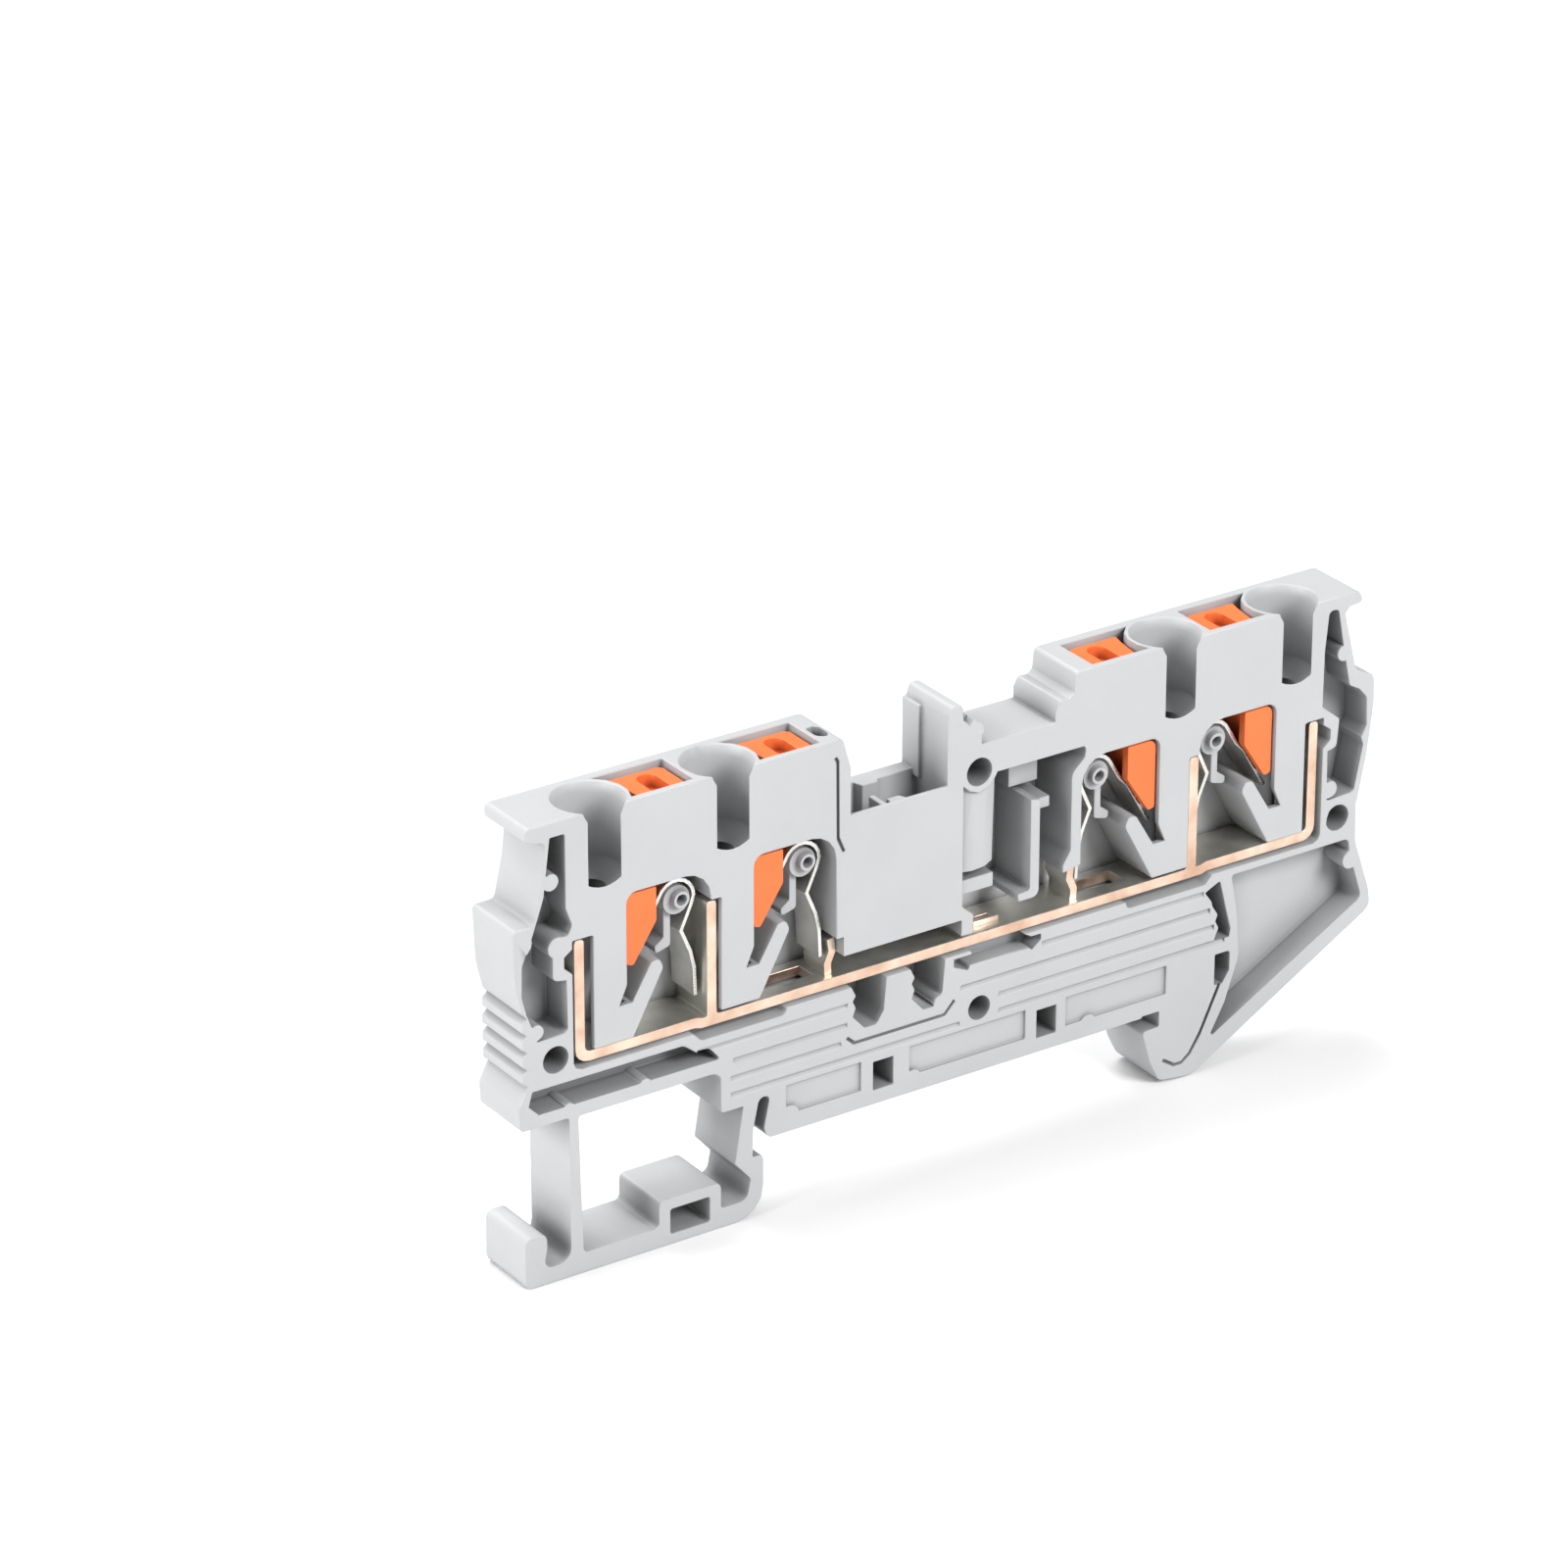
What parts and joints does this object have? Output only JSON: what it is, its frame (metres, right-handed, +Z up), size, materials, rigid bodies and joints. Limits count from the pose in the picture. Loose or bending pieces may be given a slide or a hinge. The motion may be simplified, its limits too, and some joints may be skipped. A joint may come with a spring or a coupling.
{
  "type": "terminal block",
  "caption": "Slim rail-mounted terminal block with push-in wire entries, orange release pushers, leg springs and a copper current bar.",
  "frame": {"origin": "on the face that rests on the rail, midway between the two towers and midway through the width", "axes": "+X along the block from the foot to the fixed hook, +Y from the open side to the closed back wall, +Z up from the rail"},
  "size_m": [0.0735, 0.0052, 0.035],
  "materials": {
    "housing": "light grey moulded polyamide",
    "current_bar": "tinned copper strip with bare copper edges",
    "leg_springs": "bright spring steel strip",
    "pushers": "orange moulded polyamide"
  },
  "bodies": {
    "block": {"housing": "housing", "current_bar": "current_bar", "leg_spring_1": "leg_springs", "leg_spring_2": "leg_springs", "leg_spring_3": "leg_springs", "leg_spring_4": "leg_springs"},
    "button_1": {"pusher_1": "pushers"},
    "button_2": {"pusher_2": "pushers"},
    "button_3": {"pusher_3": "pushers"},
    "button_4": {"pusher_4": "pushers"}
  },
  "joints": [
    {"name": "press_1", "type": "slide", "parent": "block", "child": "button_1", "axis": [0, 0, -1], "range_m": [0, 0.0017], "stiffness_N_per_m": 4000, "deforming": ["leg_spring_1"]},
    {"name": "press_2", "type": "slide", "parent": "block", "child": "button_2", "axis": [0, 0, -1], "range_m": [0, 0.0017], "stiffness_N_per_m": 4000, "deforming": ["leg_spring_2"]},
    {"name": "press_3", "type": "slide", "parent": "block", "child": "button_3", "axis": [0, 0, -1], "range_m": [0, 0.0017], "stiffness_N_per_m": 4000, "deforming": ["leg_spring_3"]},
    {"name": "press_4", "type": "slide", "parent": "block", "child": "button_4", "axis": [0, 0, -1], "range_m": [0, 0.0017], "stiffness_N_per_m": 4000, "deforming": ["leg_spring_4"]}
  ]
}
